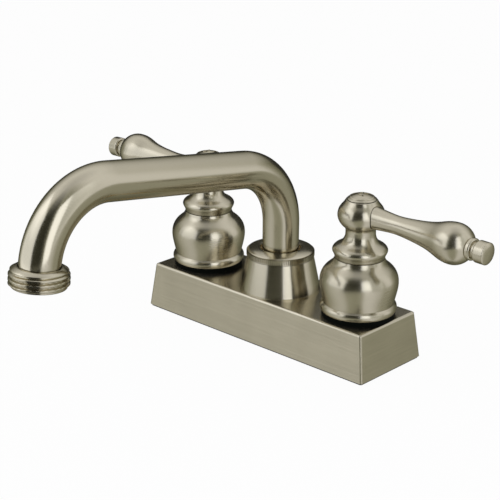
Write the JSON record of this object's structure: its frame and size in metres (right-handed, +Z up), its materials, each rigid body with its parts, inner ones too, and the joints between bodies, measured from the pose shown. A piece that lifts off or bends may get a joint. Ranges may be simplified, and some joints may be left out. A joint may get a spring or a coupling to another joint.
{
  "type": "utility sink faucet",
  "caption": "Utility sink faucet: tapered base, quarter-turn lever handles on turned bells, and a bent swivel tube spout that ends in a hose thread.",
  "frame": {"origin": "middle of the base's underside, on the sink ledge and under the spout's swivel axis", "axes": "+X along the base from the hot handle to the cold one, -Y towards the user along the spout, +Z up out of the ledge"},
  "size_m": [0.247, 0.19, 0.1605],
  "materials": {
    "nickel": "satin",
    "brass": "satin",
    "steel": "satin",
    "black_rubber": "matte",
    "black_plastic": "satin",
    "white_plastic": "satin",
    "ceramic": "satin"
  },
  "bodies": {
    "base": {"base_cover": "nickel", "base_gasket": "black_rubber", "waterway_body": "brass", "spout_sleeve": "nickel", "spout_nut": "nickel", "spout_washer": "white_plastic", "hot_shank": "brass", "hot_shank_washer": "steel", "hot_shank_nut": "brass", "hot_seat_seal": "black_rubber", "hot_cartridge_body": "brass", "hot_fixed_disc": "ceramic", "hot_body_oring": "black_rubber", "hot_bonnet_nut": "brass", "hot_bell_ring": "black_plastic", "hot_bell": "nickel", "cold_shank": "brass", "cold_shank_washer": "steel", "cold_shank_nut": "brass", "cold_seat_seal": "black_rubber", "cold_cartridge_body": "brass", "cold_fixed_disc": "ceramic", "cold_body_oring": "black_rubber", "cold_bonnet_nut": "brass", "cold_bell_ring": "black_plastic", "cold_bell": "nickel"},
    "spout": {"spout_tube": "nickel", "hose_end": "nickel", "spout_ferrule": "brass", "spout_orings": "black_rubber"},
    "hot_handle": {"hot_hub": "nickel", "hot_lever": "nickel", "hot_handle_screw": "steel", "hot_index_button": "nickel", "hot_stem": "brass", "hot_stem_oring": "black_rubber", "hot_moving_disc": "ceramic"},
    "cold_handle": {"cold_hub": "nickel", "cold_lever": "nickel", "cold_handle_screw": "steel", "cold_index_button": "nickel", "cold_stem": "brass", "cold_stem_oring": "black_rubber", "cold_moving_disc": "ceramic"}
  },
  "joints": [
    {"name": "spout_swivel", "type": "hinge", "parent": "base", "child": "spout", "pos_m": [0, 0, 0.0242], "axis": [0, 0, 1], "continuous": true},
    {"name": "hot_handle_turn", "type": "hinge", "parent": "base", "child": "hot_handle", "pos_m": [-0.0508, 0, 0.0537], "axis": [0, 0, 1], "range_deg": [0, 90]},
    {"name": "cold_handle_turn", "type": "hinge", "parent": "base", "child": "cold_handle", "pos_m": [0.0508, 0, 0.0537], "axis": [0, 0, -1], "range_deg": [0, 90]}
  ]
}
